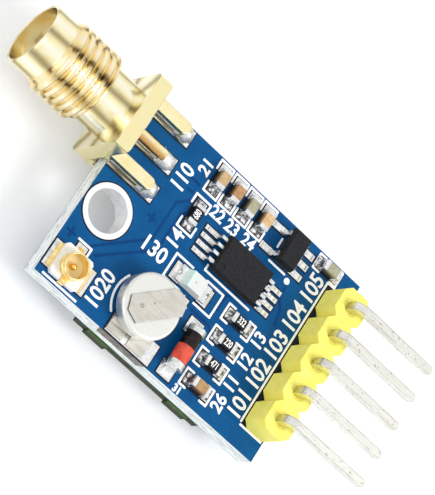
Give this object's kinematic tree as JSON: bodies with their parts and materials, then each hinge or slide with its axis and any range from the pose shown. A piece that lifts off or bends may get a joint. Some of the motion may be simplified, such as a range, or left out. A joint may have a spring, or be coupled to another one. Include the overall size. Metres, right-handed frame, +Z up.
{
  "type": "satellite positioning module",
  "caption": "Small circuit module with a threaded coax jack on its edge, a bent pin header, a backup cell, chip parts and a shielded receiver underneath.",
  "frame": {"origin": "under the middle of the module's box, on the plane that the receiver's shield rests on", "axes": "+X along the board from the coax jack to the header pins, +Y across the board, +Z up out of its top face"},
  "size_m": [0.0388, 0.0162, 0.008],
  "materials": {
    "board_blue": "glossy solder mask over glass-fibre laminate",
    "tin": "bright tinned copper and solder",
    "gold": "gold-plated, polished",
    "white_plastic": "satin moulded plastic",
    "cell_steel": "satin drawn steel can",
    "tab_nickel": "dull stamped strip",
    "diode_glass": "glossy tinted glass",
    "lamp_lens": "clear to milky epoxy",
    "chip_black": "fine matte moulded epoxy",
    "resistor_black": "satin glazed coat",
    "capacitor_tan": "satin fired ceramic",
    "capacitor_brown": "satin fired ceramic",
    "capacitor_khaki": "satin fired ceramic",
    "header_yellow": "satin moulded plastic",
    "pin_tin": "bright tinned wire",
    "carrier_green": "solder mask over laminate",
    "shield_steel": "satin drawn steel sheet",
    "crystal_case": "satin ceramic case"
  },
  "bodies": {
    "root": {"circuit_board": "board_blue", "hole_plating": "tin", "pads_top": "tin", "pads_bottom": "tin", "antenna_jack_body": "gold", "antenna_jack_insulator": "white_plastic", "antenna_jack_contact": "gold", "antenna_jack_joints": "tin", "micro_socket_base": "white_plastic", "micro_socket_shell": "gold", "micro_socket_pin": "gold", "backup_cell": "cell_steel", "cell_top_tab": "tab_nickel", "cell_bottom_tab": "tab_nickel", "diode_glass": "diode_glass", "diode_caps": "tin", "led_base": "white_plastic", "led_lens": "lamp_lens", "led_terminals": "tin", "memory_chip_body": "chip_black", "memory_chip_leads": "tin", "regulator_body": "chip_black", "regulator_leads": "tin", "chip_joints": "tin", "header_block": "header_yellow", "header_joints": "tin", "receiver_board": "carrier_green", "receiver_shield": "shield_steel", "receiver_chip": "chip_black", "receiver_crystal": "crystal_case", "receiver_filter": "crystal_case", "receiver_joints": "tin", "resistor_1": "resistor_black", "resistor_1_ends": "tin", "resistor_2": "resistor_black", "resistor_2_ends": "tin", "resistor_3": "resistor_black", "resistor_3_ends": "tin", "resistor_4": "resistor_black", "resistor_4_ends": "tin", "capacitor_1": "capacitor_tan", "capacitor_1_ends": "tin", "capacitor_2": "capacitor_brown", "capacitor_2_ends": "tin", "capacitor_3": "capacitor_khaki", "capacitor_3_ends": "tin", "capacitor_4": "capacitor_brown", "capacitor_4_ends": "tin", "capacitor_5": "capacitor_khaki", "capacitor_5_ends": "tin", "capacitor_6": "capacitor_tan", "capacitor_6_ends": "tin", "header_pin_1": "pin_tin", "header_pin_2": "pin_tin", "header_pin_3": "pin_tin", "header_pin_4": "pin_tin", "header_pin_5": "pin_tin"}
  },
  "joints": []
}
